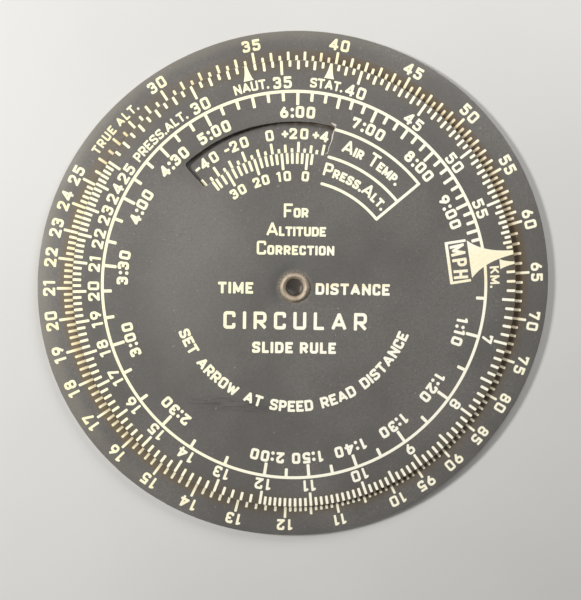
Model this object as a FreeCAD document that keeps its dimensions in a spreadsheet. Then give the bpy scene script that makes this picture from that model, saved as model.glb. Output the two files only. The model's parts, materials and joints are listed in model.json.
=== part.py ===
"""Circular flight computer: a turning dial on a larger scale disc, held by a hollow eyelet.

The origin is on the pivot axis, at the back face of the base disc.  +Z points out of the
printed face and +Y points to the 6:00 mark of the rotating disc in its rest position.
"""
import FreeCAD
import Part
import Sketcher
import math
import os

ORIGIN_POINT = (-1, 1)      # sketch geometry index and point number of the sketch's origin
START = 1                   # point numbers of a line or an arc in a sketch
END = 2
CENTRE = 3
UP = FreeCAD.Vector(0, 0, 1)
LEAST_CUT = 0.1             # mm3: a cut that takes away less than this has missed
SAME_SIZE = 1e-4            # mm

doc = FreeCAD.newDocument("FlightComputer")
sheet = doc.addObject("Spreadsheet::Sheet", "Sizes")

# Driving dimensions in millimetres and degrees.
sizes = {
    "base_radius": 54.0,            # scale disc, 4 1/4 in across
    "sheet_thickness": 0.76,        # both discs, 0.030 in plastic sheet
    "edge_round": 0.12,             # broken edge round both discs
    "dial_radius": 47.45,           # rotating disc
    "window_inner": 28.4,           # altitude window in the rotating disc
    "window_outer": 34.8,
    "window_start": 77.1,           # its two ends, anticlockwise from +X
    "window_end": 133.2,
    "window_corner": 0.7,
    "eyelet_bore": 1.65,            # hollow eyelet, 1/8 in hole and 1/4 in flange
    "eyelet_barrel": 2.0,
    "flange_radius": 3.15,
    "clinch_radius": 2.95,          # rolled end at the back
    "spacer_radius": 5.0,           # thin washer between the discs
    "spacer_thickness": 0.25,
    "washer_radius": 4.2,           # metal washer under the rolled end
    "washer_thickness": 0.3,
    "washer_round": 0.08,
    "running_gap": 0.05,            # radial clearance of the rotating disc on the barrel
    "fixed_gap": 0.02,              # radial clearance of the parts that the eyelet clamps
    "end_play": 0.02,               # axial clearance on each face of the rotating disc
}
for row, (name, value) in enumerate(sizes.items(), start=1):
    sheet.set("A%d" % row, name)
    sheet.set("B%d" % row, str(value))
    sheet.setAlias("B%d" % row, name)
doc.recompute()

DIAL_FLOOR = "Sizes.sheet_thickness + Sizes.spacer_thickness + Sizes.end_play"
FLANGE_SEAT = DIAL_FLOOR + " + Sizes.sheet_thickness + Sizes.end_play"
PIVOT_HOLE = "Sizes.eyelet_barrel + Sizes.fixed_gap"
DIAL_HOLE = "Sizes.eyelet_barrel + Sizes.running_gap"


def new_body(label):
    body = doc.addObject("PartDesign::Body", label)
    body.Label = label
    return body


def new_sketch(body, name, role):
    """A sketch on one of the body's own origin planes."""
    plane = next(item for item in body.Origin.OriginFeatures if item.Role == role)
    sketch = body.newObject("Sketcher::SketchObject", name)
    sketch.AttachmentSupport = (plane, [""])
    sketch.MapMode = "FlatFace"
    return sketch


def value_of(expression):
    """The number that an expression in spreadsheet names stands for."""
    return float(sheet.evalExpression(expression.replace("Sizes.", "")))


def drive(sketch, key, constraint, expression):
    """Add a dimension and bind it to the spreadsheet."""
    index = sketch.addConstraint(constraint)
    sketch.renameConstraint(index, key)
    sketch.setExpression("Constraints." + key, expression)


def add_circle(sketch, key, expression):
    """A circle about the sketch's origin."""
    radius = value_of(expression)
    circle = Part.Circle(FreeCAD.Vector(), UP, radius)
    index = sketch.addGeometry(circle, False)
    sketch.addConstraint(Sketcher.Constraint("Coincident", index, CENTRE, *ORIGIN_POINT))
    drive(sketch, key, Sketcher.Constraint("Radius", index, radius), expression)


def pad(body, name, sketch, expression):
    feature = body.newObject("PartDesign::Pad", name)
    feature.Profile = sketch
    feature.setExpression("Length", expression)
    doc.recompute()
    return feature


def cut_through(body, name, sketch):
    """Pocket from the back plane right through the sheet, with its effect checked."""
    before = body.Shape.Volume
    feature = body.newObject("PartDesign::Pocket", name)
    feature.Profile = sketch
    feature.Type = 1                # through all
    feature.Reversed = True         # the sketch lies on the back face, so it cuts upwards
    doc.recompute()
    if body.Shape.Volume > before - LEAST_CUT:
        raise RuntimeError(name + " removed nothing")
    return feature


def round_edges(body, name, feature, chosen, expression):
    """Fillet the feature's edges for which chosen(edge) is true."""
    names = []
    for number, edge in enumerate(feature.Shape.Edges, start=1):
        if chosen(edge):
            names.append("Edge%d" % number)
    fillet = body.newObject("PartDesign::Fillet", name)
    fillet.Base = (feature, names)
    fillet.setExpression("Radius", expression)
    doc.recompute()
    return fillet


def is_circle_of(radius):
    def chosen(edge):
        return isinstance(edge.Curve, Part.Circle) and abs(edge.Curve.Radius - radius) < SAME_SIZE
    return chosen


def is_upright(edge):
    return isinstance(edge.Curve, Part.Line) and abs(edge.BoundBox.ZLength - edge.Length) < SAME_SIZE


def add_window(sketch):
    """Two arcs about the pivot joined by two radial lines."""
    inner = value_of("Sizes.window_inner")
    outer = value_of("Sizes.window_outer")
    first = math.radians(value_of("Sizes.window_start"))
    last = math.radians(value_of("Sizes.window_end"))
    inner_arc, outer_arc = [add_window_arc(sketch, radius, first, last) for radius in (inner, outer)]
    drive(sketch, "InnerRadius", Sketcher.Constraint("Radius", inner_arc, inner), "Sizes.window_inner")
    drive(sketch, "OuterRadius", Sketcher.Constraint("Radius", outer_arc, outer), "Sizes.window_outer")
    for which, turn, key, alias in ((START, first, "StartAngle", "Sizes.window_start"),
                                    (END, last, "EndAngle", "Sizes.window_end")):
        ray = FreeCAD.Vector(math.cos(turn), math.sin(turn), 0)
        side = sketch.addGeometry(Part.LineSegment(ray * inner, ray * outer), False)
        sketch.addConstraint(Sketcher.Constraint("Coincident", side, START, inner_arc, which))
        sketch.addConstraint(Sketcher.Constraint("Coincident", side, END, outer_arc, which))
        sketch.addConstraint(Sketcher.Constraint("PointOnObject", *ORIGIN_POINT, side))
        drive(sketch, key, Sketcher.Constraint("Angle", side, turn), alias)


def add_window_arc(sketch, radius, first, last):
    arc = Part.ArcOfCircle(Part.Circle(FreeCAD.Vector(), UP, radius), first, last)
    index = sketch.addGeometry(arc, False)
    sketch.addConstraint(Sketcher.Constraint("Coincident", index, CENTRE, *ORIGIN_POINT))
    return index


def build_base_disc():
    """Lower disc: carries the outer scale and the temperature scale under the window."""
    body = new_body("base_disc")
    outline = new_sketch(body, "BaseOutline", "XY_Plane")
    add_circle(outline, "Radius", "Sizes.base_radius")
    blank = pad(body, "BaseBlank", outline, "Sizes.sheet_thickness")
    round_edges(body, "BaseEdges", blank, is_circle_of(value_of("Sizes.base_radius")),
                "Sizes.edge_round")
    hole = new_sketch(body, "BaseHole", "XY_Plane")
    add_circle(hole, "Radius", PIVOT_HOLE)
    cut_through(body, "BaseBore", hole)
    return body


def build_rotating_disc():
    """Upper disc: the dial that is turned, with the altitude window cut through it."""
    body = new_body("rotating_disc")
    outline = new_sketch(body, "DialOutline", "XY_Plane")
    add_circle(outline, "Radius", "Sizes.dial_radius")
    blank = pad(body, "DialBlank", outline, "Sizes.sheet_thickness")
    round_edges(body, "DialEdges", blank, is_circle_of(value_of("Sizes.dial_radius")),
                "Sizes.edge_round")
    window = new_sketch(body, "Window", "XY_Plane")
    add_window(window)
    opening = cut_through(body, "WindowCut", window)
    round_edges(body, "WindowCorners", opening, is_upright, "Sizes.window_corner")
    hole = new_sketch(body, "DialHole", "XY_Plane")
    add_circle(hole, "Radius", DIAL_HOLE)
    cut_through(body, "DialBore", hole)
    body.setExpression("Placement.Base.z", DIAL_FLOOR)
    return body


def build_pivot_eyelet():
    """Hollow rivet: straight barrel, half-round flange in front, rolled end at the back."""
    body = new_body("pivot_eyelet")
    profile = new_sketch(body, "EyeletProfile", "XZ_Plane")
    bore = value_of("Sizes.eyelet_bore")
    barrel = value_of("Sizes.eyelet_barrel")
    flange = value_of("Sizes.flange_radius")
    clinch = value_of("Sizes.clinch_radius")
    front = value_of(FLANGE_SEAT)
    back = -value_of("Sizes.washer_thickness")

    bore_wall = add_line(profile, bore, back, bore, front)
    seat_front = add_line(profile, flange, front, barrel, front)
    barrel_wall = add_line(profile, barrel, front, barrel, back)
    seat_back = add_line(profile, barrel, back, clinch, back)
    roll_front = add_half_circle(profile, bore, flange, front, 0.0)
    roll_back = add_half_circle(profile, bore, clinch, back, math.pi)

    joins = ((bore_wall, END, roll_front, END), (roll_front, START, seat_front, START),
             (seat_front, END, barrel_wall, START), (barrel_wall, END, seat_back, START),
             (seat_back, END, roll_back, END), (roll_back, START, bore_wall, START))
    for join in joins:
        profile.addConstraint(Sketcher.Constraint("Coincident", *join))
    for upright in (bore_wall, barrel_wall):
        profile.addConstraint(Sketcher.Constraint("Vertical", upright))
    for level in (seat_front, seat_back):
        profile.addConstraint(Sketcher.Constraint("Horizontal", level))
    for roll in (roll_front, roll_back):
        profile.addConstraint(Sketcher.Constraint("Horizontal", roll, START, roll, END))
        profile.addConstraint(Sketcher.Constraint("Horizontal", roll, CENTRE, roll, START))

    for key, direction, geometry, point, place, expression in (
            ("Bore", "DistanceX", bore_wall, START, bore, "Sizes.eyelet_bore"),
            ("Barrel", "DistanceX", barrel_wall, START, barrel, "Sizes.eyelet_barrel"),
            ("Flange", "DistanceX", seat_front, START, flange, "Sizes.flange_radius"),
            ("Clinch", "DistanceX", seat_back, END, clinch, "Sizes.clinch_radius"),
            ("Front", "DistanceY", barrel_wall, START, front, FLANGE_SEAT),
            ("Back", "DistanceY", barrel_wall, END, back, "-Sizes.washer_thickness")):
        constraint = Sketcher.Constraint(direction, *ORIGIN_POINT, geometry, point, place)
        drive(profile, key, constraint, expression)

    turned = body.newObject("PartDesign::Revolution", "EyeletTurned")
    turned.Profile = profile
    turned.ReferenceAxis = (profile, ["V_Axis"])
    turned.Angle = 360.0
    doc.recompute()
    return body


def add_line(sketch, x0, y0, x1, y1):
    segment = Part.LineSegment(FreeCAD.Vector(x0, y0, 0), FreeCAD.Vector(x1, y1, 0))
    return sketch.addGeometry(segment, False)


def add_half_circle(sketch, x0, x1, height, first):
    """Half circle on the level line from x0 to x1, starting at the angle first."""
    circle = Part.Circle(FreeCAD.Vector((x0 + x1) / 2, height, 0), UP, (x1 - x0) / 2)
    return sketch.addGeometry(Part.ArcOfCircle(circle, first, first + math.pi), False)


def build_washer(label, radius, hole, thickness, floor):
    """Flat ring made of two cylinders."""
    outside = doc.addObject("Part::Cylinder", label + "_outside")
    outside.setExpression("Radius", radius)
    outside.setExpression("Height", thickness)
    inside = doc.addObject("Part::Cylinder", label + "_inside")
    inside.setExpression("Radius", hole)
    inside.setExpression("Height", thickness)
    ring = doc.addObject("Part::Cut", label + "_ring")
    ring.Base = outside
    ring.Tool = inside
    ring.setExpression("Placement.Base.z", floor)
    doc.recompute()
    return ring


def build_spacer_washer():
    """Thin washer that keeps the print of the two discs from rubbing."""
    ring = build_washer("spacer", "Sizes.spacer_radius", PIVOT_HOLE, "Sizes.spacer_thickness",
                        "Sizes.sheet_thickness")
    ring.Label = "spacer_washer"
    return ring


def build_back_washer():
    """Metal washer that the rolled end of the eyelet bears on."""
    ring = build_washer("backing", "Sizes.washer_radius", PIVOT_HOLE, "Sizes.washer_thickness",
                        "-Sizes.washer_thickness")
    rounded = doc.addObject("Part::Fillet", "backing_rounded")
    rounded.Base = ring
    chosen = is_circle_of(value_of("Sizes.washer_radius"))
    size = value_of("Sizes.washer_round")
    rounded.Edges = [(number, size, size) for number, edge in enumerate(ring.Shape.Edges, start=1)
                     if chosen(edge)]
    rounded.Label = "back_washer"
    doc.recompute()
    return rounded


builders = (build_base_disc, build_rotating_disc, build_pivot_eyelet,
            build_spacer_washer, build_back_washer)
pieces = [build() for build in builders]
doc.recompute()

for item in doc.Objects:
    if "Invalid" in item.State or "Error" in item.State:
        raise RuntimeError("%s failed: %s" % (item.Label, item.State))
for piece in pieces:
    if piece.Shape.isNull() or not piece.Shape.isValid() or len(piece.Shape.Solids) != 1:
        raise RuntimeError("%s is not one sound solid" % piece.Label)

os.makedirs("parts", exist_ok=True)
for piece in pieces:
    piece.Shape.exportStep("parts/%s.step" % piece.Label)
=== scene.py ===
"""Looks of a circular flight computer: two printed plastic discs turning on a hollow eyelet.

Lengths are in millimetres and are turned into metres where a mesh is made.  Angles on the discs
are in degrees, clockwise from +Y, the way the scales run.
"""
import functools
import json
import math

import bpy
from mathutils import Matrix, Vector, noise
from mathutils.geometry import delaunay_2d_cdt


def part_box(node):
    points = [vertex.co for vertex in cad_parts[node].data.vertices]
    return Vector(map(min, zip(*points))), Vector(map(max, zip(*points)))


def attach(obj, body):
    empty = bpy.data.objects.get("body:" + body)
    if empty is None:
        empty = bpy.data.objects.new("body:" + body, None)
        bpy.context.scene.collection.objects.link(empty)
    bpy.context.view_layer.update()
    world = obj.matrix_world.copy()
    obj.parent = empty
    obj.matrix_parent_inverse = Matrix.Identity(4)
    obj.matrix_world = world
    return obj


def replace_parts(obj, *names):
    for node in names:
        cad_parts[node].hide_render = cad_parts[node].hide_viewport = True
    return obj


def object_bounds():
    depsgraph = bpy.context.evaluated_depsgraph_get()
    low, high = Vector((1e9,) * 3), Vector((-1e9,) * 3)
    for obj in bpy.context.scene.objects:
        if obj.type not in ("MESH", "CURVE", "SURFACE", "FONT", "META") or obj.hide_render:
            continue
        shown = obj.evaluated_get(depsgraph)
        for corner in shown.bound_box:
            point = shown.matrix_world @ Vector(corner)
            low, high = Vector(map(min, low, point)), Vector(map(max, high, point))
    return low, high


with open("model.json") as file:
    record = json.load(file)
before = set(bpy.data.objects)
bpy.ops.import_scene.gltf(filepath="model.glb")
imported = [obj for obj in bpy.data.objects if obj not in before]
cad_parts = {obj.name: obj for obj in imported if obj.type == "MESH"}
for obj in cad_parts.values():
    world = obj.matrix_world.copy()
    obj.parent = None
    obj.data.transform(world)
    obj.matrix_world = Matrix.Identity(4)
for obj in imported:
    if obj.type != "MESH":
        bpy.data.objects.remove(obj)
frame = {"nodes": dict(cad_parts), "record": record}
cad_low, cad_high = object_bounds()

MM = 0.001

# ---- sizes taken from the CAD frame ----

PIVOT_AREA = 10.0  # everything nearer the axis than this belongs to the pivot


def node_box(node):
    low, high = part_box(node)
    return low / MM, high / MM


def window_of(node, dial_radius):
    """Radii and end angles of the window, read from the CAD node's own vertices."""
    inside = [v.co / MM for v in frame["nodes"][node].data.vertices]
    inside = [p for p in inside if PIVOT_AREA < p.xy.length < dial_radius - 1.0]
    radii = [p.xy.length for p in inside]
    turns = [math.degrees(math.atan2(p.x, p.y)) for p in inside]
    return min(radii), max(radii), min(turns), max(turns)


base_low, base_high = node_box("base_disc")
dial_low, dial_high = node_box("rotating_disc")
eyelet_low, eyelet_high = node_box("pivot_eyelet")
spacer_low, spacer_high = node_box("spacer_washer")
washer_low, washer_high = node_box("back_washer")

BASE_RADIUS = base_high.x
BASE_TOP = base_high.z
DIAL_RADIUS = dial_high.x
DIAL_TOP = dial_high.z
WINDOW_INNER, WINDOW_OUTER, WINDOW_LEFT, WINDOW_RIGHT = window_of("rotating_disc", DIAL_RADIUS)
EYELET_BORE = frame["record"]["mounts"][0]["dims"]["r_mm"]
FLANGE_RADIUS = eyelet_high.x
BARREL_RADIUS = EYELET_BORE + 0.35
CLEARANCE = 0.02  # between the barrel and what sits tightly round it
DIAL_HOLE = BARREL_RADIUS + 0.05

WINDOW_CORNER = 0.7
EDGE_ROUND = 0.14  # broken edge of the sheet
BAR_CORNER, CAP_CORNER = 0.3, 0.28  # corners of printed lines, as shares of their width
INK_HEIGHT = 0.03
INK_SINK = 0.01  # how far the ink's underside lies in the plastic
MERGE_WITHIN = 0.001  # corners of overlapping shapes that are this close become one
BASE_FACETS, DIAL_FACETS, HOLE_FACETS = 540, 480, 64  # points round each edge
TAU = 2 * math.pi


# ---- plane geometry helpers ----


def polar(turn, radius):
    """Point at an angle clockwise from +Y."""
    a = math.radians(turn)
    return Vector((radius * math.sin(a), radius * math.cos(a)))


def spread(first, last, steps):
    """Evenly spaced values, both ends among them."""
    return [first + (last - first) * k / steps for k in range(steps + 1)]


def rays(count):
    """Unit vectors all round, anticlockwise from +X."""
    return [Vector((math.cos(TAU * k / count), math.sin(TAU * k / count))) for k in range(count)]


def arc(centre, radius, first, last, steps):
    """Points on an arc, angles in radians anticlockwise from +X."""
    return [centre + radius * Vector((math.cos(a), math.sin(a))) for a in spread(first, last, steps)]


def rounded_end(tip, along, width, corner):
    """The two corners at the end of a line, anticlockwise; their radius is a share of its width."""
    size = width * corner
    centre, side = tip - along * size, along.orthogonal() * (width / 2 - size)
    ahead = math.atan2(along.y, along.x)
    return (arc(centre - side, size, ahead - math.pi / 2, ahead, 3)
            + arc(centre + side, size, ahead, ahead + math.pi / 2, 3))


def bar(start, end, width):
    """Rectangle from start to end with slightly rounded corners."""
    along = (end - start).normalized()
    return (rounded_end(end, along, width, BAR_CORNER)
            + rounded_end(start, -along, width, BAR_CORNER))


def arc_band(inner, outer, first, last, step=1.5):
    """Quads that fill a ring sector, clockwise from first to last."""
    count = max(1, round((last - first) / step))
    turns = spread(first, last, count)
    return [[polar(b, inner), polar(b, outer), polar(a, outer), polar(a, inner)]
            for a, b in zip(turns, turns[1:])]


def tick(turn, start, end, width):
    return bar(polar(turn, start), polar(turn, end), width)


# ---- the lettering ----

# Each glyph is its width, as a share of its height, and its strokes.  A stroke is a path in a
# unit box.  A point with a third number is rounded, with that radius as a share of the line's
# width.
TIGHT, ROUND = 0.52, 0.8
LEFT, RIGHT = [(0, 0), (0, 1)], [(1, 0), (1, 1)]
BOX = [(0, 0, TIGHT), (1, 0, TIGHT), (1, 1, TIGHT), (0, 1, TIGHT), "closed"]
SIX = [[(0, 0, ROUND), (1, 0, ROUND), (1, .57, ROUND), (0, .57, ROUND), "closed"],
       [(0, .30), (0, .46, 1.6), (.62, 1)]]
NINE = [[(1 - p[0], 1 - p[1], *p[2:]) if p != "closed" else p for p in path] for path in SIX]
BOWL = [(0, 0), (0, 1), (1, 1, ROUND), (1, .42, ROUND), (0, .42)]
GLYPHS = {
    "0": (.745, [BOX]),
    "1": (.40, [RIGHT]),
    "2": (.71, [[(0, .80), (0, 1, ROUND), (1, 1, ROUND), (1, .60, ROUND), (0, 0)], [(0, 0), (1, 0)]]),
    "3": (.68, [[(0, .88), (0, 1, ROUND), (1, 1, ROUND), (1, .53, ROUND), (.46, .53)],
                [(.46, .53), (1, .53, ROUND), (1, 0, ROUND), (0, 0, ROUND), (0, .12)]]),
    "4": (.80, [[(.76, 0), (.76, 1)], [(.71, 1), (0, .25)], [(0, .25), (1, .25)]]),
    "5": (.70, [[(.94, 1), (.04, 1), (.04, .60)],
                [(.04, .60), (1, .60, ROUND), (1, 0, ROUND), (0, 0, ROUND), (0, .12)]]),
    "6": (.72, SIX),
    "7": (.74, [[(0, .86), (0, 1), (.97, 1)], [(.97, 1), (.38, 0)]]),
    "8": (.73, [[(0, 0, ROUND), (1, 0, ROUND), (1, .54, ROUND), (0, .54, ROUND), "closed"],
                [(.05, .54, ROUND), (.95, .54, ROUND), (.95, 1, ROUND), (.05, 1, ROUND), "closed"]]),
    "9": (.72, NINE),
    "A": (.86, [[(.5, 1), (0, 0)], [(.5, 1), (1, 0)], [(.22, .27), (.78, .27)]]),
    "C": (.69, [[(1, .82), (1, 1, TIGHT), (0, 1, TIGHT), (0, 0, TIGHT), (1, 0, TIGHT), (1, .18)]]),
    "D": (.76, [[(0, 0), (0, 1), (1, 1, ROUND), (1, 0, ROUND), (0, 0)]]),
    "E": (.67, [[(1, 1), (0, 1), (0, 0), (1, 0)], [(0, .51), (.74, .51)]]),
    "F": (.65, [[(1, 1), (0, 1), (0, 0)], [(0, .48), (.78, .48)]]),
    "H": (.76, [LEFT, RIGHT, [(0, .5), (1, .5)]]),
    "I": (0, [LEFT]),
    "K": (.78, [LEFT, [(1, 1), (.05, .40)], [(.36, .62), (1, 0)]]),
    "L": (.60, [[(0, 1), (0, 0), (1, 0)]]),
    "M": (.92, [LEFT, RIGHT, [(0, 1), (.5, .14), (1, 1)]]),
    "N": (.78, [LEFT, RIGHT, [(0, 1), (1, 0)]]),
    "O": (.74, [BOX]),
    "P": (.70, [BOWL]),
    "R": (.74, [BOWL, [(.42, .42), (1, 0)]]),
    "S": (.73, [[(1, .88), (1, 1, ROUND), (0, 1, ROUND), (0, .57, ROUND), (1, .45, ROUND),
                 (1, 0, ROUND), (0, 0, ROUND), (0, .12)]]),
    "T": (.74, [[(0, 1), (1, 1)], [(.5, 1), (.5, 0)]]),
    "U": (.74, [[(0, 1), (0, 0, TIGHT), (1, 0, TIGHT), (1, 1)]]),
    "W": (1.05, [[(0, 1), (.27, 0), (.5, .78), (.73, 0), (1, 1)]]),
    "-": (.50, [[(0, .45), (1, .45)]]),
    "+": (.62, [[(0, .48), (1, .48)], [(.5, .22), (.5, .74)]]),
    ".": (0, []),
    ":": (0, []),
}
DOTS = {".": (0,), ":": (.03, .76)}  # heights of round dots in the unit box
DOT_SIZE = 1.28  # dot diameter as a share of the line's width
FLAG = {"1": [(0, .74), (0, .89), (.5, 1), (.5, .74)]}  # solid shapes, as shares of the glyph
# Extra space before and after a sign, as shares of its height.
BEARING = {"1": (-.05, .08), ":": (.02, -.03), "+": (0, -.20), "-": (0, -.16)}
OVERLAP = 0.004  # how far a straight stretch runs into what it meets
DIAGONAL_CAP = 0.25  # how far a slanting line runs past its end, in line widths
DISC_FACETS = 16
STEPS_ROUND = 5  # quads round a rounded corner
CORNER_ROOM = 0.49  # the share of a stretch that a rounded corner at one end may use up
LEAST_INNER = 0.02  # inner radius that a tight corner keeps, in line widths
SQUARE_WITHIN = 0.2  # largest cosine between two strokes that meet squarely
UPRIGHT_WITHIN = 0.05  # largest sine between an upright or level line and its axis


def cap(tip, along, width):
    """Rounded square end of a line that stops at tip."""
    foot, side = tip - along * width, along.orthogonal() * (width / 2)
    return rounded_end(tip, along, width, CAP_CORNER) + [foot + side, foot - side]


def disc(centre, radius):
    return [centre + ray * radius for ray in rays(DISC_FACETS)]


def segment(start, end, width):
    """Rectangle that runs a hair past both ends, so that it overlaps what it meets."""
    along = (end - start).normalized()
    side = along.orthogonal() * (width / 2)
    start, end = start - along * OVERLAP, end + along * OVERLAP
    return [start - side, end - side, end + side, start + side]


def stroke(path, width):
    """Polygons that together cover a line drawn along the path."""
    closed = path[-1] == "closed"
    if closed:
        path = path[:-1]
    spots = [Vector(p[:2]) for p in path]
    radii = [p[2] * width if len(p) > 2 else 0 for p in path]
    count = len(spots)
    shapes = []
    spans = []  # straight stretches left between the rounded corners
    last = count if closed else count - 1
    for k in range(last):
        spans.append([spots[k].copy(), spots[(k + 1) % count].copy()])
    corners = range(count) if closed else range(1, count - 1)
    for k in corners:
        here = spots[k]
        before = (here - spots[k - 1]).normalized()
        after = (spots[(k + 1) % count] - here).normalized()
        if radii[k]:
            room = min((here - spots[k - 1]).length, (spots[(k + 1) % count] - here).length)
            angle = before.angle(after)
            reach = min(radii[k] * math.tan(angle / 2), room * CORNER_ROOM)
            radius = reach / math.tan(angle / 2)
            sign = math.copysign(1, before.cross(after))
            side = before.orthogonal() * sign
            centre = here - before * reach + side * radius
            first = math.atan2(-side.y, -side.x)
            outer, inner = [arc(centre, size, first, first + angle * sign, STEPS_ROUND)
                            for size in (radius + width / 2,
                                         max(radius - width / 2, LEAST_INNER * width))]
            for i in range(STEPS_ROUND):
                shapes.append([inner[i], outer[i], outer[i + 1], inner[i + 1]])
            spans[k - 1][1] = here - before * reach
            spans[k][0] = here + after * reach
        elif abs(before.dot(after)) < SQUARE_WITHIN:
            shapes.append(cap(here + before * (width / 2), before, width))
            shapes.append(cap(here - after * (width / 2), -after, width))
        else:
            shapes.append(disc(here, width / 2))
    for start, end in spans:
        shapes.append(segment(start, end, width))
    if not closed:
        for tip, other in ((spots[0], spots[1]), (spots[-1], spots[-2])):
            along = (tip - other).normalized()
            upright = min(abs(along.x), abs(along.y)) < UPRIGHT_WITHIN
            past = width / 2 if upright else width * DIAGONAL_CAP
            shapes.append(cap(tip + along * past, along, width))
    return shapes


def glyph_width(letter, height, width, narrow):
    share = GLYPHS[letter][0] * narrow
    return share * height if share else width


def glyph(letter, height, width, narrow):
    """Polygons of one letter, its ink box starting at the origin."""
    across = glyph_width(letter, height, width, narrow)

    def spot(p):
        x = width / 2 + p[0] * (across - width)
        y = width / 2 + p[1] * (height - width)
        return (x, y, *p[2:])

    shapes = []
    for path in GLYPHS[letter][1]:
        shapes += stroke([p if p == "closed" else spot(p) for p in path], width)
    for level in DOTS.get(letter, ()):
        shapes.append(disc(Vector(spot((0, level))[:2]), width * DOT_SIZE / 2))
    if letter in FLAG:
        shapes.append([Vector((x * across, y * height)) for x, y in FLAG[letter]])
    return shapes


def contains(shape, spot):
    """Whether a polygon contains a point."""
    inside = False
    for a, b in zip(shape, shape[1:] + shape[:1]):
        if (a.y > spot.y) != (b.y > spot.y):
            if spot.x < a.x + (b.x - a.x) * (spot.y - a.y) / (b.y - a.y):
                inside = not inside
    return inside


def box_of(shape):
    xs, ys = [p.x for p in shape], [p.y for p in shape]
    return min(xs), max(xs), min(ys), max(ys)


def merged(shapes):
    """Union of polygons as points and triangles."""
    spots, faces = [], []
    for shape in shapes:
        faces.append(list(range(len(spots), len(spots) + len(shape))))
        spots += shape
    points, _, triangles, *_ = delaunay_2d_cdt(spots, [], faces, 0, MERGE_WITHIN)
    boxes = [(box_of(shape), shape) for shape in shapes]
    kept = []
    for triangle in triangles:
        spot = sum((points[i] for i in triangle), Vector((0, 0))) / 3
        if any(box[0] < spot.x < box[1] and box[2] < spot.y < box[3] and contains(shape, spot)
               for box, shape in boxes):
            kept.append(triangle)
    used = sorted({i for t in kept for i in t})
    number = {old: new for new, old in enumerate(used)}
    return [points[i] for i in used], [tuple(number[i] for i in t) for t in kept]


@functools.cache
def glyph_patch(letter, height, width, narrow):
    return merged(glyph(letter, height, width, narrow))


class Lettering:
    """How a line of text is drawn: height, width of line, gap between letters and word space.

    small is the height of the letters after a word's capital; narrow squeezes every letter.
    """

    def __init__(self, height, line, gap=0.5, space=1.2, small=0, narrow=1.0):
        self.height, self.line, self.gap = height, line, gap
        self.space, self.small, self.narrow = space, small, narrow

    def lay_out(self, text, gap):
        """Letters as (letter, height, width, left edge), and the line's length."""
        letters = []
        x = 0
        tall = True
        for letter in text:
            if letter == " ":
                x += self.space - gap
                tall = True
                continue
            size = self.height if tall or not self.small else self.small
            before, after = BEARING.get(letter, (0, 0))
            if letters:
                x += before * size
            across = glyph_width(letter, size, self.line, self.narrow)
            letters.append((letter, size, across, x))
            x += across + gap + after * size
            tall = letter == "."
        last = letters[-1]
        return letters, last[2] + last[3]

    def fitted(self, text, length=None):
        """The layout with its gaps set so that it has the given length."""
        letters, natural = self.lay_out(text, self.gap)
        if length is None:
            return letters, natural
        stretch = (length - natural) / (len(letters) - 1)
        return self.lay_out(text, self.gap + stretch)


class Ink:
    """Printed marks as patches that don't overlap, later made into one thin raised mesh."""

    def __init__(self):
        self.patches = []

    def add(self, *shapes):
        """Add shapes as one patch; they may overlap each other."""
        self.patches.append(merged(shapes))

    def put(self, letter, size, style, place):
        points, triangles = glyph_patch(letter, size, style.line, style.narrow)
        self.patches.append(([place(p) for p in points], triangles))

    def straight(self, text, left, foot, style, right):
        """Upright text that runs from left to right."""
        letters, _ = style.fitted(text, right - left)
        for letter, size, _, x in letters:
            corner = Vector((left + x, foot))
            self.put(letter, size, style, lambda p, corner=corner: corner + p)

    def curved(self, text, turn, foot, style, inward=False, span=None, centre_on=None):
        """Text round the pivot, centred on turn.  inward puts the letters' tops to the middle.

        span is the angle that the text covers.  centre_on names the part of the text that is
        centred, when a sign before it doesn't count.
        """
        away = -1 if inward else 1
        middle = foot + away * style.height / 2
        letters, length = style.fitted(text, span and math.radians(span) * middle)
        start = -length / 2
        if centre_on is not None:
            start = style.fitted(centre_on)[1] / 2 - length
        for letter, size, across, x in letters:
            here = turn + away * math.degrees((start + x + across / 2) / middle)
            up = polar(here, away)
            right = Vector((up.y, -up.x))
            corner = polar(here, foot) - right * (across / 2)
            self.put(letter, size, style,
                     lambda p, c=corner, u=up, r=right: c + r * p.x + u * p.y)


# ---- meshes ----


# Both sheets have grown along their rolling direction and shrunk across it.
STRETCH, STRETCH_TURN = 0.0044, 4.7
# The rim of the base has swollen: on the whole, to one side and most of all along one diameter.
SWELL, SIDE_SWELL, OVAL_SWELL = 0.0078, 0.0043, 0.0133  # shares of the radius
SIDE_TURN, OVAL_TURN = 230.0, 69.6
LIFT_TURN, LIFT_HEIGHT = 84.0, 0.10  # the side of the dial that has warped away from the base
DISH_DEPTH, DISH_RADIUS = 0.06, 7.0  # the eyelet holds the middle of the dial down


def rolled(x, y):
    """A point of a sheet after its growth along the rolling direction."""
    spot, ray = Vector((x, y)), polar(STRETCH_TURN, 1)
    return spot * (1 - STRETCH) + ray * (2 * STRETCH * spot.dot(ray))


def swollen(x, y, z):
    """Where a point of the flat base sheet has moved to."""
    turn = math.degrees(math.atan2(x, y))
    share = SWELL + SIDE_SWELL * math.cos(math.radians(turn - SIDE_TURN))
    share += OVAL_SWELL * math.cos(math.radians(2 * (turn - OVAL_TURN)))
    spot = rolled(x, y) * (1 + share * (math.hypot(x, y) / BASE_RADIUS) ** 4)
    return spot.x, spot.y, z


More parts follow.
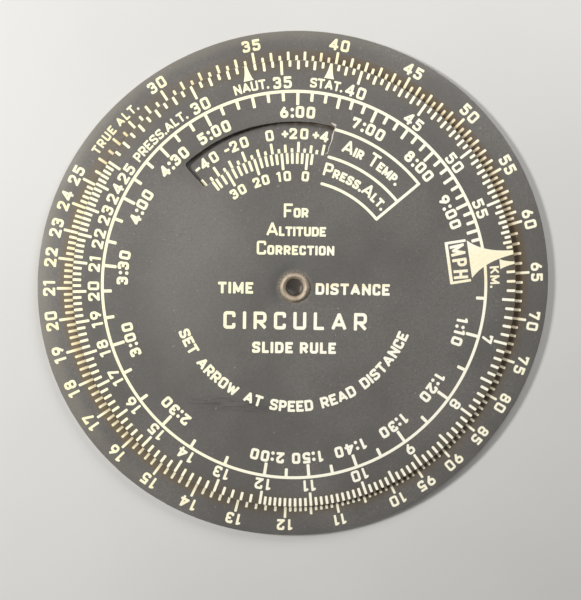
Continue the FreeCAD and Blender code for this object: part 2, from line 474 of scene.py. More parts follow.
def warped(x, y, z):
    """Where a point of the flat dial sheet has moved to."""
    spot = rolled(x, y)
    share = max(0.0, spot.dot(polar(LIFT_TURN, 1)) / DIAL_RADIUS)
    dish = min(1.0, max(0.0, (spot.length - FLANGE_RADIUS) / (DISH_RADIUS - FLANGE_RADIUS)))
    return spot.x, spot.y, z + LIFT_HEIGHT * share ** 2 + DISH_DEPTH * dish * dish * (3 - 2 * dish)


SHAPES = {"base": swollen, "dial": warped}
TOPS = {"base": BASE_TOP, "dial": DIAL_TOP}


def put_in_scene(name, data):
    made = bpy.data.objects.new(name, data)
    bpy.context.scene.collection.objects.link(made)
    return made


def make_piece(name, points, faces, material, body, smooth, flags=None):
    """Mesh object from points in mm, smooth where faces meet by less than the angle smooth.

    flags is a value from 0 to 1 at each point, for its material.
    """
    mesh = bpy.data.meshes.new(name)
    mesh.from_pydata([Vector(p) * MM for p in points], [], faces, shade_flat=False)
    mesh.validate()
    mesh.set_sharp_from_angle(angle=math.radians(smooth))
    if flags is not None:
        attribute = mesh.attributes.new("edge", "FLOAT", "POINT")
        attribute.data.foreach_set("value", flags)
    mesh.materials.append(material)
    piece = put_in_scene(name, mesh)
    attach(piece, body)
    return piece


def quads(first, second):
    """Faces between two closed rings of point numbers."""
    corners = zip(first, first[1:] + first[:1], second[1:] + second[:1], second)
    return [list(face) for face in corners]


def slab(points, triangles, low, high, shape, solid, faces):
    """Add a closed slab over a flat patch, from the height low to the height high."""
    first = len(solid)
    count = len(points)
    for height in (high, low):
        solid += [shape(p.x, p.y, height) for p in points]
    edges = {(t[k], t[(k + 1) % 3]) for t in triangles for k in range(3)}
    for t in triangles:
        faces.append([first + i for i in t])
        faces.append([first + count + i for i in reversed(t)])
    for a, b in sorted(edges):
        if (b, a) not in edges:
            faces.append([first + b, first + a, first + count + a, first + count + b])


def print_ink(body, material, **pieces):
    """One piece of raised ink for each name and its marks."""
    for name, ink in pieces.items():
        raise_patches(name, ink.patches, body, material, INK_HEIGHT)


def raise_patches(name, patches, body, material, height):
    """Thin slabs on the face of a body's sheet."""
    solid, faces = [], []
    top = TOPS[body]
    for points, triangles in patches:
        slab(points, triangles, top - INK_SINK, top + height, SHAPES[body], solid, faces)
    make_piece(name, solid, faces, material, body, 30)


def circle_loop(radius, count, sign=1):
    """A round outline as (point, direction away from the material); sign is -1 round a hole."""
    return [(ray * radius, ray * sign) for ray in rays(count)]


def window_loop(inner, outer, left, right, corner, last_corner):
    """Outline of the window, anticlockwise, as (point, direction into the window).

    last_corner is the radius of the corner where the right end meets the lower edge.
    """
    loop = []

    def along(radius, first, last, count):
        sign = -1 if radius > (inner + outer) / 2 else 1
        for turn in spread(first, last, count):
            ray = polar(turn, 1)
            loop.append((ray * radius, ray * sign))

    def add_corner(turn, radius, side, edge, from_end, size=corner):
        """Rounded corner at an end of the window; side is the way to the window's middle."""
        step = math.degrees(size / (radius + edge * size))
        centre = polar(turn + side * step, radius + edge * size)
        to_end = polar(turn - side * 90 + side * step, 1)
        to_edge = polar(turn + side * step, 1) * -edge
        for k in range(1, 6):
            a = (k / 6 if from_end else 1 - k / 6) * math.pi / 2
            ray = to_end * math.cos(a) + to_edge * math.sin(a)
            loop.append((centre + ray * size, -ray))

    def add_end(turn, first, last, facing):
        for radius in spread(first, last, 16):
            loop.append((polar(turn, radius), polar(facing, 1)))

    along(inner, left + math.degrees(corner / inner), right - math.degrees(last_corner / inner), 160)
    add_corner(right, inner, -1, 1, False, last_corner)
    add_end(right, inner + last_corner, outer - corner, right - 90)
    add_corner(right, outer, -1, -1, True)
    step_out = math.degrees(corner / outer)
    along(outer, right - step_out, left + step_out, 200)
    add_corner(left, outer, 1, -1, False)
    add_end(left, outer - corner, inner + corner, left + 90)
    add_corner(left, inner, 1, 1, True)
    return [(rough_cut(spot, away), away) for spot, away in loop]


SAW_MARK = 0.035  # how far the sawn edge of the window wanders
END_SLANT = 0.33  # how far the window's right end leans over at its outer corner
END_WAVE, WAVE_LENGTH = 0.07, 3.1  # how far the right end wanders in and out, and how often
END_REACH = 3.0  # the angle over which the lean and the wave fade away


def rough_cut(spot, away):
    """Move a point of the window's outline to where the hand-finished edge runs."""
    wander = SAW_MARK * noise.noise(Vector((spot.x * 1.7, spot.y * 1.7, 0.3)))
    turn = math.degrees(math.atan2(spot.x, spot.y))
    near_end = max(0.0, 1 - (WINDOW_RIGHT - turn) / END_REACH)
    wave = END_WAVE * math.sin(TAU * spot.length / WAVE_LENGTH)
    height = (spot.length - WINDOW_INNER) / (WINDOW_OUTER - WINDOW_INNER)
    return spot + away * wander + polar(turn + 90, 1) * near_end * (END_SLANT * height + wave)


def rounded_edge(low, high, size):
    """(inset, height, wear) of the rings round a sheet's edge, from its underside to its face."""
    rings = []
    for a in spread(0, math.pi / 2, 4):
        rings.append((size * (1 - math.sin(a)), low + size * (1 - math.cos(a)), math.sin(a)))
    rings += [(inset, high - (height - low), wear) for inset, height, wear in reversed(rings)]
    return rings


FILL_GAP, FILL_MARGIN = 3.0, 0.45  # spacing of the points inside a sheet; clear share at its edges


def sheet(name, outline, holes, low, high, material, body):
    """Plastic sheet with rounded edges round its outline and holes."""
    rings = rounded_edge(low, high, EDGE_ROUND)
    points, plan, flags, faces = [], [], [], []

    def add(spot, height, wear):
        points.append(SHAPES[body](spot.x, spot.y, height))
        plan.append(Vector(spot))
        flags.append(wear)
        return len(points) - 1

    loops = [outline] + holes
    borders = []  # the first and last ring of each loop, for the flat faces
    for loop in loops:
        numbers = []
        for inset, height, wear in rings:
            numbers.append([add(spot - away * inset, height, wear) for spot, away in loop])
        for lower, upper in zip(numbers, numbers[1:]):
            faces += quads(lower, upper) if loop is outline else quads(upper, lower)
        borders.append((numbers[0], numbers[-1]))

    reach = max(spot.length for spot, _ in outline)
    fill = []
    radius = FLANGE_RADIUS
    while radius < reach - 0.5:
        gap = FILL_GAP if radius > DISH_RADIUS else FILL_GAP / 3
        count = round(TAU * radius / gap)
        ring = [polar(360 * (k + radius % 1) / count, radius) for k in range(count)]
        fill += [p for p in ring if is_clear(p, outline, holes, gap * FILL_MARGIN)]
        radius += gap

    for side, height in ((0, low), (1, high)):
        spots, shapes, owners = [], [], []
        for border in borders:
            ring = border[side]
            shapes.append(list(range(len(spots), len(spots) + len(ring))))
            spots += [plan[i] for i in ring]
            owners += ring
        spots += fill
        owners += [add(p, height, 0.0) for p in fill]
        _, _, triangles, sources_of, _, inside = delaunay_2d_cdt(spots, [], shapes, 0, 1e-6)
        for triangle, source in zip(triangles, inside):
            if source != [0]:
                continue
            face = [owners[sources_of[i][0]] for i in triangle]
            a, b, c = [plan[i] for i in face]
            up = (b - a).cross(c - a) > 0
            faces.append(face if up == (side == 1) else face[::-1])
    return make_piece(name, points, faces, material, body, 60, flags)


def is_clear(spot, outline, holes, margin):
    """Whether a fill point keeps its distance from every edge and lies in no hole."""
    for loop in [outline] + holes:
        near, away = min(loop, key=lambda item: (item[0] - spot).length_squared)
        if (spot - near).dot(away) > -margin:
            return False
    return True


def turned(name, profile, count, material, body, shape=None):
    """Closed profile of (radius, height) turned round the pivot; shape(radius, height, angle) bends it."""
    points, faces = [], []
    rows = len(profile)
    for k in range(count):
        a = TAU * k / count
        for radius, height in profile:
            if shape:
                radius, height = shape(radius, height, a)
            points.append((radius * math.cos(a), radius * math.sin(a), height))
    rings = [list(range(k * rows, (k + 1) * rows)) for k in range(count)]
    for ring, following in zip(rings, rings[1:] + rings[:1]):
        faces += quads(following, ring)
    return make_piece(name, points, faces, material, body, 50)


# ---- materials ----


class Nodes:
    """Short way to build a material's node tree; colour is what its coats so far add up to."""

    def __init__(self, name):
        self.material = bpy.data.materials.new(name)
        self.material.use_nodes = True
        self.tree = self.material.node_tree
        self.shader = self.tree.nodes["Principled BSDF"]
        self.coordinates = self.call("ShaderNodeTexCoord", output="Object")
        self.colour = None

    def wire(self, source, target):
        if isinstance(source, (int, float)):
            target.default_value = source
        elif isinstance(source, tuple):
            target.default_value = (*source, 1.0) if len(target.default_value) == 4 else source
        else:
            self.tree.links.new(source, target)

    def node(self, kind, inputs, **settings):
        """New node; inputs holds a number, tuple or socket for the name of each input."""
        made = self.tree.nodes.new(kind)
        for key, value in settings.items():
            setattr(made, key, value)
        for key, value in inputs.items():
            self.wire(value, made.inputs[key])
        return made

    def call(self, kind, *values, output=0, **settings):
        """An output of a new node, whose first inputs get the values."""
        return self.node(kind, dict(enumerate(values)), **settings).outputs[output]

    def noise(self, scale, detail=2.0, roughness=0.5, vector=None):
        inputs = {"Vector": vector or self.coordinates, "Scale": scale, "Detail": detail,
                  "Roughness": roughness}
        return self.node("ShaderNodeTexNoise", inputs).outputs["Fac"]

    def remap(self, value, low, high, out_low=0.0, out_high=1.0):
        return self.call("ShaderNodeMapRange", value, low, high, out_low, out_high,
                         interpolation_type="SMOOTHSTEP")

    def maths(self, operation, a, b=0.0):
        return self.call("ShaderNodeMath", a, b, operation=operation)

    def vector_maths(self, operation, *values, output=0):
        return self.call("ShaderNodeVectorMath", *values, output=output, operation=operation)

    def mix(self, share, a, b):
        inputs = {"Factor": share, "A": a, "B": b}
        return self.node("ShaderNodeMix", inputs, data_type="RGBA").outputs["Result"]

    def product(self, *values):
        return functools.reduce(lambda a, b: self.maths("MULTIPLY", a, b), values)

    def coat(self, tint, *shares):
        """Cover the colour with a tint, as far as the product of the shares says."""
        self.colour = self.mix(self.product(*shares), self.colour, tint)

    def flattened(self):
        """Place on the disc in mm, without its height."""
        return self.vector_maths("MULTIPLY", self.coordinates, (1 / MM, 1 / MM, 0))

    def radius(self):
        """Distance from the pivot axis, in mm."""
        return self.vector_maths("LENGTH", self.flattened(), output="Value")

    def past(self, radius):
        """Distance outside a circle round the pivot, in mm."""
        return self.maths("SUBTRACT", self.radius(), radius)

    def towards(self, turn):
        """1 where the angle points, seen from the pivot, falling to -1 on the far side."""
        ray = self.vector_maths("NORMALIZE", self.flattened())
        return self.vector_maths("DOT_PRODUCT", ray, (*polar(turn, 1), 0), output="Value")

    def specks(self, spacing, size, share):
        """Round dots up to the given size, in mm; share is how many cells of the pattern hold one."""
        cells = self.node("ShaderNodeTexVoronoi", {"Vector": self.coordinates,
                                                   "Scale": 1 / (spacing * MM)},
                          voronoi_dimensions="2D").outputs
        draw = self.node("ShaderNodeSeparateColor", {0: cells["Color"]}).outputs
        chosen = self.maths("LESS_THAN", draw["Red"], share)
        reach = self.maths("MULTIPLY", draw["Green"], size / 2 / spacing)
        return self.product(self.remap(cells["Distance"], reach, 0.0), chosen)

    def near(self, place, reach, turn):
        """1 at a place in mm, falling to 0 at its reach along its length and width."""
        spot = self.call("ShaderNodeMapping", self.flattened(), (*place, 0),
                         (0, 0, math.radians(turn)), (*reach, 1), vector_type="TEXTURE")
        return self.remap(self.vector_maths("LENGTH", spot, output="Value"), 1.0, 0.3)

    def stretched(self, turn, across, along):
        """Coordinates stretched along one direction, for scratches."""
        return self.call("ShaderNodeMapping", self.coordinates, (0, 0, 0),
                         (0, 0, math.radians(turn)), (across, along, 1))

    def upward(self):
        """1 on level upward faces, 0 on walls and -1 underneath."""
        normal = self.call("ShaderNodeNewGeometry", output="True Normal")
        return self.call("ShaderNodeSeparateXYZ", normal, output="Z")

    def bump(self, height, strength, distance):
        inputs = {"Strength": strength, "Distance": distance, "Height": height}
        self.wire(self.node("ShaderNodeBump", inputs).outputs[0], self.shader.inputs["Normal"])

    def finish(self, roughness, metallic=0.0, specular=0.5):
        for key, value in (("Base Color", self.colour), ("Roughness", roughness),
                           ("Metallic", metallic), ("Specular IOR Level", specular)):
            self.wire(value, self.shader.inputs[key])
        return self.material


def plastic_material(name, own_marks):
    """Satin grey sheet: faint mottling, grain, painted glints, scratches, dust and pale worn edges.

    own_marks lays the coats that only this sheet has.
    """
    n = Nodes(name)
    grain = n.noise(5200, 2)
    mottle = n.remap(n.noise(2000, 3, 0.65), 0.35, 0.65)
    cloud = n.remap(n.noise(45, 3), 0.36, 0.64)
    n.colour = n.mix(cloud, (0.119, 0.113, 0.105), (0.147, 0.140, 0.131))
    n.coat((0.090, 0.084, 0.079), mottle, 0.45)
    n.coat((0.086, 0.081, 0.076), grain, 0.30)
    # Painted glints: fine pale flecks, more of them where the cloud is lighter.
    n.coat((0.235, 0.225, 0.210), n.remap(n.noise(4300, 3, 0.7), 0.52, 0.66),
           n.remap(cloud, 0.0, 1.0, 0.12, 0.60))
    own_marks(n)
    scuff = 0.0
    for turn, size in ((24, 1.0), (-38, 1.3), (75, 0.8), (-70, 1.1)):
        lines = n.remap(n.noise(60 * size, 3, 0.6, n.stretched(turn, 55, 5)), 0.66, 0.76)
        patch = n.remap(n.noise(38 * size, 2, 0.5, n.stretched(turn, 1, 1)), 0.50, 0.64)
        scuff = n.maths("MAXIMUM", n.product(lines, patch), scuff)
    n.coat((0.25, 0.24, 0.225), scuff, 0.55)
    n.coat((0.065, 0.060, 0.056), n.remap(n.noise(75, 3, 0.6, n.stretched(6, 4, 60)), 0.60, 0.72),
           n.remap(n.noise(30, 2, 0.5, n.stretched(6, 1, 1.6)), 0.54, 0.66), 0.6)
    fine_dust = n.product(n.specks(0.9, 0.4, 0.2), n.remap(n.noise(60, 2), 0.42, 0.60))
    n.coat((0.36, 0.345, 0.32), n.maths("MAXIMUM", fine_dust, n.specks(4.3, 0.6, 0.2)), 0.6)
    edge = n.call("ShaderNodeAttribute", output="Fac", attribute_name="edge")
    n.coat((0.40, 0.37, 0.32), edge, n.remap(n.noise(350, 3), 0.40, 0.6, 0.2, 1.0), 0.8)
    roughness = n.remap(n.noise(160, 4), 0.3, 0.7, 0.46, 0.60)
    roughness = n.maths("ADD", roughness, n.product(scuff, 0.15))
    height = n.maths("ADD", n.product(grain, 0.5), n.product(mottle, 0.6))
    height = n.maths("SUBTRACT", height, n.product(scuff, 0.6))
    n.bump(height, 0.30, 0.00003)
    return n.finish(roughness)


def base_marks(n):
    """Brown grime and painted shadow where the dial's edge and the window's edge run, and a rim painted
    paler as light on the lamps' side.
    """
    grime_and_shade = (0.052, 0.031, 0.011)
    face = n.remap(n.upward(), 0.2, 0.6)
    past_dial = n.past(DIAL_RADIUS)
    ring = n.product(n.remap(past_dial, -1.5, -0.5), face)
    for turn, least, most, tan in ((50, 0.15, 0.75, (0.100, 0.066, 0.032)),
                                   (250, 0.20, 0.75, (0.162, 0.115, 0.060))):
        n.coat(tan, n.remap(past_dial, 3.2, 1.8), ring,
               n.remap(n.towards(turn), 0.45, 0.95, least, most))
    # Partly brown grime, partly painted shadow of the dial's edge: a narrow dark band all round that fades
    # on the lamps' side, and a wider one on the far side towards 85 degrees.
    narrow = n.product(n.remap(past_dial, 0.9, 0.1), n.remap(n.towards(325), 0.3, 0.9, 0.7, 0.25))
    wide_stain_and_shade = n.product(n.remap(past_dial, 2.0, 0.5), n.remap(n.towards(85), -0.2, 0.6))
    n.coat(grime_and_shade, n.maths("MAXIMUM", narrow, wide_stain_and_shade), n.remap(n.noise(120, 3), 0.3, 0.6, 0.6, 1.0), ring)
    # Painted shadow, coloured brown: a dark band on the base along the window's top edge, where that
    # edge's shadow falls.
    from_window = n.maths("ABSOLUTE", n.past(WINDOW_OUTER))
    n.coat(grime_and_shade, n.remap(from_window, 0.9, 0.2), n.remap(n.noise(700, 3), 0.35, 0.6), face, 0.7)
    # Painted light: the rim is made paler on the side towards 300 degrees, where the lamps shine from.
    painted_lit_rim = n.remap(n.radius(), 51.0, 53.6)
    n.coat((0.225, 0.21, 0.17), painted_lit_rim, n.remap(n.towards(300), -0.2, 0.7), 0.45)


def dial_marks(n):
    """What only the dial has, from a painted sheen on its left to the rubbed edge."""
    # Painted sheen: a paler band round the dial's left side, towards the lamps, with fine sparkle in it.
    from_sheen_band = n.maths("ABSOLUTE", n.past(23.0))
    n.coat((0.205, 0.196, 0.182), n.remap(from_sheen_band, 15.0, 2.0), n.remap(n.towards(275), 0.45, 0.97),
           n.remap(n.noise(3400, 3, 0.7), 0.40, 0.65, 0.5, 1.0), 0.50)
    creases = n.remap(n.noise(75, 4, 0.7, n.stretched(4, 3, 70)), 0.46, 0.60)
    n.coat((0.050, 0.047, 0.045), n.near((-12.5, -25.4), (13.5, 2.2), -4), creases, 0.75)
    past_eyelet = n.past(FLANGE_RADIUS)
    # Painted shade: darker on the dish's slope left of the eyelet, which faces away from the lamps.
    dish_shade = n.product(n.remap(past_eyelet, 3.6, 1.0), n.remap(past_eyelet, 0.2, 0.9))
    n.coat((0.062, 0.062, 0.062), dish_shade, n.remap(n.towards(295), -0.1, 0.9), 0.45)
    dust = n.remap(n.noise(5200, 2, 0.6), 0.50, 0.60)
    n.coat((0.34, 0.27, 0.20), n.remap(past_eyelet, 1.1, 0.1), dust, 0.8)
    n.coat((0.118, 0.088, 0.050), n.remap(n.radius(), 44.5, 46.5), 0.5)
    greasy = n.remap(n.towards(270), 0.70, 0.95)
    n.coat((0.080, 0.074, 0.066), n.remap(n.radius(), 40.5, 43.5), greasy, 0.45)
    rubbed = n.remap(n.radius(), DIAL_RADIUS - 0.9, DIAL_RADIUS - 0.1)
    n.coat((0.060, 0.038, 0.018), rubbed, n.remap(n.noise(150, 3), 0.45, 0.65), 0.5)


def ink_material(name, light, dark, stained_and_shaded=False, handled_at=None):
    """Printing ink, a little uneven, and painted yellower on the side towards the lamps, for its look in
    the strong light there.

    stained adds the brown that the dial's edge has rubbed into it, painted shadow beside that edge and
    yellowing painted stronger on the lamps' side; handled_at is the angle where fingers have darkened it.
    """
    n = Nodes(name)
    n.colour = n.mix(n.remap(n.noise(220, 3), 0.3, 0.75), light, dark)
    # Painted light: the ink is made yellower towards the lamps' side, where the light is strongest.
    n.coat((0.98, 0.94, 0.59), n.remap(n.towards(300), -0.9, 0.9, 0.0, 0.7))
    speckle = n.remap(n.noise(2600, 3, 0.6), 0.40, 0.65)
    n.coat((0.93, 0.82, 0.56), speckle, 0.25)
    if handled_at is not None:
        n.coat((0.93, 0.81, 0.48), n.remap(n.towards(handled_at), 0.990, 0.998),
               n.remap(speckle, 0.0, 1.0, 0.3, 0.8))
    if stained_and_shaded:
        # Patchy yellowing, made stronger towards the lamps' side: painted light there.
        n.coat((0.93, 0.79, 0.44), n.remap(n.noise(110, 3), 0.42, 0.60),
               n.remap(n.towards(300), -0.6, 0.8), 0.5)
        past_dial = n.past(DIAL_RADIUS)
        band = n.product(n.remap(past_dial, 2.9, 0.3), n.remap(past_dial, -0.6, -0.2))
        worst = n.maths("MAXIMUM", n.remap(n.towards(58), 0.80, 0.97),
                        n.product(n.remap(n.towards(245), 0.80, 0.97), 0.7))
        place = n.maths("MAXIMUM", worst, n.remap(n.noise(60, 2), 0.50, 0.66, 0.0, 0.7))
        n.coat((0.50, 0.31, 0.14), band, place, 0.62)
        # Painted shadow: darker brown on the marks just past the dial's edge, on the side towards 85
        # degrees, away from the lamps.
        n.coat((0.40, 0.24, 0.11), n.remap(past_dial, 1.0, 0.1), n.remap(n.towards(85), 0.0, 0.6), 0.2)
    n.bump(n.noise(3000, 2), 0.15, 0.00002)
    return n.finish(n.remap(n.noise(400, 2), 0.3, 0.7, 0.5, 0.65), specular=0.35)


def metal_material(name, bright, dull, grime_and_shade_within=0.0):
    """Oxidised plated brass, dull and pitted; within a radius dark brown grime also paints the shade down
    the hole.
    """
    n = Nodes(name)
    tarnish = n.noise(700, 4, 0.6)
    n.colour = n.mix(n.remap(tarnish, 0.35, 0.7), bright, dull)
    n.coat((0.15, 0.11, 0.075), n.remap(n.noise(2600, 2), 0.62, 0.72), 0.4)
    # Brown grime in the funnel and bore, darkened further as painted shade down the hole.
    if grime_and_shade_within:
        n.coat((0.040, 0.024, 0.016), n.remap(n.radius(), grime_and_shade_within, EYELET_BORE + 0.05), 0.9)
    n.bump(n.noise(1800, 3), 0.35, 0.00004)
    return n.finish(n.remap(tarnish, 0.3, 0.7, 0.5, 0.7), 0.35, 0.35)


def burr_material(name):
    """Plastic bruised white where the saw broke out."""
    n = Nodes(name)
    n.colour = n.mix(n.remap(n.noise(800, 3), 0.35, 0.65), (0.78, 0.72, 0.64), (0.50, 0.40, 0.34))
    n.bump(n.noise(2400, 3), 0.4, 0.00004)
    return n.finish(0.6, specular=0.4)


def fibre_material(name):
    """Dark red vulcanised fibre."""
    n = Nodes(name)
    strand = n.noise(900, 4, 0.7, n.stretched(15, 6, 1))
    n.colour = n.mix(n.remap(strand, 0.3, 0.7), (0.16, 0.055, 0.03), (0.24, 0.09, 0.05))
    n.bump(strand, 0.3, 0.00004)
    return n.finish(0.75)


def floor_material():
    """Pale card, clear to eyes and lamps below it, so that the object's back can be viewed."""
    n = Nodes("pale_floor")
    n.colour = n.mix(n.remap(n.noise(14, 3), 0.3, 0.7), (0.59, 0.585, 0.575), (0.62, 0.615, 0.605))
    n.bump(n.noise(1200, 3), 0.1, 0.0001)
    n.finish(0.85, specular=0.2)
    from_below = n.call("ShaderNodeNewGeometry", output="Backfacing")
    to_lamp = n.call("ShaderNodeLightPath", output="Is Shadow Ray")
    surface = n.call("ShaderNodeMixShader", n.maths("MAXIMUM", from_below, to_lamp),
                     n.shader.outputs[0], n.call("ShaderNodeBsdfTransparent"))
    n.wire(surface, n.tree.nodes["Material Output"].inputs["Surface"])
    return n.material


# ---- the two sheets and the pivot ----


def build_sheets():
    base_hole = circle_loop(BARREL_RADIUS + CLEARANCE, HOLE_FACETS, -1)
    base = sheet("base_sheet", circle_loop(BASE_RADIUS, BASE_FACETS), [base_hole],
                 base_low.z, BASE_TOP, base_plastic, "base")
    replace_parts(base, "base_disc")
    window = window_loop(WINDOW_INNER, WINDOW_OUTER, WINDOW_LEFT, WINDOW_RIGHT, WINDOW_CORNER, 1.0)
    dial = sheet("dial_sheet", circle_loop(DIAL_RADIUS, DIAL_FACETS),
                 [circle_loop(DIAL_HOLE, HOLE_FACETS, -1), window],
                 dial_low.z, DIAL_TOP, dial_plastic, "dial")
    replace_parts(dial, "rotating_disc")


def build_burr():
    """Whitened burr left standing along the window's right end, with a flake at its upper corner."""
    height = WINDOW_OUTER - WINDOW_INNER
    edges = []
    for share in spread(0, 1, 26):
        spot = polar(WINDOW_RIGHT, WINDOW_INNER + 0.35 + share * (height - 0.3))
        across = polar(WINDOW_RIGHT + 90, 1)
        if share < 0.12:
            spot -= across * 0.5 * (1 - share / 0.12) ** 2
        middle = rough_cut(spot, -across) - across * 0.03
        thick = 0.055 + 0.10 * math.exp(-((share - 0.68) / 0.16) ** 2)
        thick *= 1 + 0.35 * noise.noise(Vector((share * 9, 0, 0)))
        edges.append((middle - across * thick, middle + across * thick))
    strip = [[b[0], b[1], a[1], a[0]] for a, b in zip(edges, edges[1:])]
    corner = (edges[-1][0] + edges[-1][1]) / 2
    flake = [corner + polar(WINDOW_RIGHT + turn, size) for turn, size in
             ((60, 0.10), (0, 0.42), (-62, 1.25), (-74, 1.15), (0, -0.06))]
    raise_patches("window_burr", [merged(strip), merged([flake[::-1]])], "dial", burr_plastic,
                  2 * INK_HEIGHT)


ROLL_LEAN, ROLL_FULLNESS = 1.36, 0.8  # set the funnel inside the roll and its round outside
SPLITS = 6


def build_eyelet():
    """Drawn brass eyelet: smooth roll in front, split and curled end at the back."""
    seat = eyelet_high.z - (FLANGE_RADIUS - EYELET_BORE) / 2
    back = washer_low.z
    clinch_radius = EYELET_BORE + 2 * (back - eyelet_low.z)
    front_roll = []
    for share in spread(0, 1, 28):
        rise = math.sin(math.pi * share ** ROLL_LEAN) ** ROLL_FULLNESS
        front_roll.append((EYELET_BORE + (FLANGE_RADIUS - EYELET_BORE) * share,
                           seat + (eyelet_high.z - seat) * rise))
    clinch = Vector(((EYELET_BORE + clinch_radius) / 2, back))
    back_roll = arc(clinch, clinch.x - EYELET_BORE, -math.pi, 0, 18)
    bore = [(EYELET_BORE, back + (seat - back) * share) for share in (0.2, 0.4, 0.6, 0.8)]
    profile = bore + front_roll + [(BARREL_RADIUS, seat), (BARREL_RADIUS, back)] + back_roll[::-1]

    def hand_set(radius, height, a):
        """Slightly uneven roll in front; six splits and a ragged edge at the back."""
        unevenness = noise.noise(Vector((math.cos(a) * 1.5, math.sin(a) * 1.5, height * 0.7)))
        if height > seat:
            height += 0.05 * unevenness * (height - seat)
            radius += 0.035 * unevenness * (radius - EYELET_BORE)
        elif height <= back and radius > BARREL_RADIUS:
            turn = (a * SPLITS / TAU + 0.13 * unevenness) % 1.0
            split = math.exp(-((turn - 0.5) / 0.05) ** 2)
            share = (radius - BARREL_RADIUS) / (clinch_radius - BARREL_RADIUS)
            radius -= share * (0.45 * split + 0.08 * (1 + unevenness))
            height += share * split * 0.5 * (back - height)
        return radius, height

    eyelet = turned("eyelet", profile, 144, eyelet_metal, "base", hand_set)
    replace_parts(eyelet, "pivot_eyelet")


def ring_profile(inner, outer, low, high, size):
    """Rectangle with rounded corners, anticlockwise in (radius, height)."""
    points = []
    for x, y, turns in ((outer - size, low + size, -0.5), (outer - size, high - size, 0.0),
                        (inner + size, high - size, 0.5), (inner + size, low + size, 1.0)):
        points += arc(Vector((x, y)), size, turns * math.pi, (turns + 0.5) * math.pi, 3)
    return points


def build_washers():
    for name, node, low, high, corner, material, slot in (
            ("spacer_ring", "spacer_washer", spacer_low, spacer_high, 0.05, fibre, "washer_fibre"),
            ("backing_ring", "back_washer", washer_low, washer_high, 0.09, washer_metal, "washer_metal")):
        profile = ring_profile(BARREL_RADIUS + CLEARANCE, high.x, low.z, high.z, corner)
        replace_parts(turned(name, profile, 96, material, "base"), node)


# ---- the scales ----

DIAL_TEN = 159.74  # where 10 stands on the dial, so that 36 and 6:00 are at the top
DIAL_AHEAD = 6.85  # how far the dial stands clockwise of the base at rest
BASE_TEN = DIAL_TEN - DIAL_AHEAD
SIXTY = 60  # the value that the big pointer marks
BASE_LINE, DIAL_LINE, TIME_LINE = 0.55, 0.57, 0.66  # widths of the graduation marks
DIAL_EDGE = DIAL_RADIUS - 0.12  # where the printing on the dial stops


def log_turn(value, ten):
    """Angle of a value on a scale that covers one decade in one turn."""
    return ten + 360 * math.log10(value / 10)


def graduations():
    """Every graduation of the 10 to 100 scale."""
    steps = ((100, 120, 1), (120, 250, 2), (250, 600, 5), (600, 1000, 10))
    return [tenths / 10 for low, high, step in steps for tenths in range(low, high, step)]


def base_scale():
    """Outer scale of the base disc, its marks running out from under the dial."""
    marks, numbers, name = Ink(), Ink(), Ink()
    start, short, middle, tall, foot = DIAL_RADIUS - 1.4, 48.8, 49.6, 50.2, 50.5
    labels = [*range(10, 26), *range(30, 100, 5)]
    for value in graduations():
        end = short
        if value in labels:
            end = tall
        elif value in (10.5, 11.5) or 25 < value < 60 and value % 1 == 0:
            end = middle
        marks.add(tick(log_turn(value, BASE_TEN), start, end, BASE_LINE))
    style = Lettering(2.4, 0.52, 0.55)
    for value in labels:
        numbers.curved(str(value), log_turn(value, BASE_TEN), foot, style)
    name.curved("TRUE ALT.", 310.4, 49.95, Lettering(1.85, 0.4, space=1.1), span=14.9)
    print_ink("base", aged_ink, base_scale_marks=marks, base_scale_numbers=numbers,
              true_altitude_name=name)


ZERO_CELSIUS = 273.0
ZERO_TURN, SEA_LEVEL_TURN = 349.6, 4.6  # where the scales in the window have their zero


def temperature_scale():
    """Air temperature on the base disc, seen through the window; the spacing is logarithmic."""
    ink = Ink()
    style = Lettering(2.3, 0.52, 0.68)
    for celsius in range(-70, 55, 5):
        turn = ZERO_TURN + 360 * math.log10((ZERO_CELSIUS + celsius) / ZERO_CELSIUS)
        end = 30.75 if celsius % 20 == 0 else 30.2 if celsius % 10 == 0 else 29.4
        ink.add(tick(turn, WINDOW_INNER - 0.5, end, DIAL_LINE))
        if celsius % 20 == 0:
            digits = str(abs(celsius))
            sign = "+" if celsius > 0 else "-" if celsius < 0 else ""
            aside = 1.5 if celsius == 40 else 0  # set clear of its neighbour
            ink.curved(sign + digits, turn + aside, 31.3, style, centre_on=digits)
    print_ink("base", cream_ink, temperature_scale=ink)


def pointer(turn, foot, tip, half_width, fall):
    """Arrowhead whose sides curve in: its half width falls off exponentially towards the tip."""
    ray, side = polar(turn, 1), polar(turn + 90, 1)
    right, left = [], []
    for radius in spread(foot, tip, 14):
        half = half_width * math.exp(-(radius - foot) / fall)
        right.append(ray * radius + side * half)
        left.append(ray * radius - side * half)
    return right + left[::-1]


NAUTICAL, STATUTE, KILOMETRE = 33, 38, 61.1  # values that the three unit arrows mark


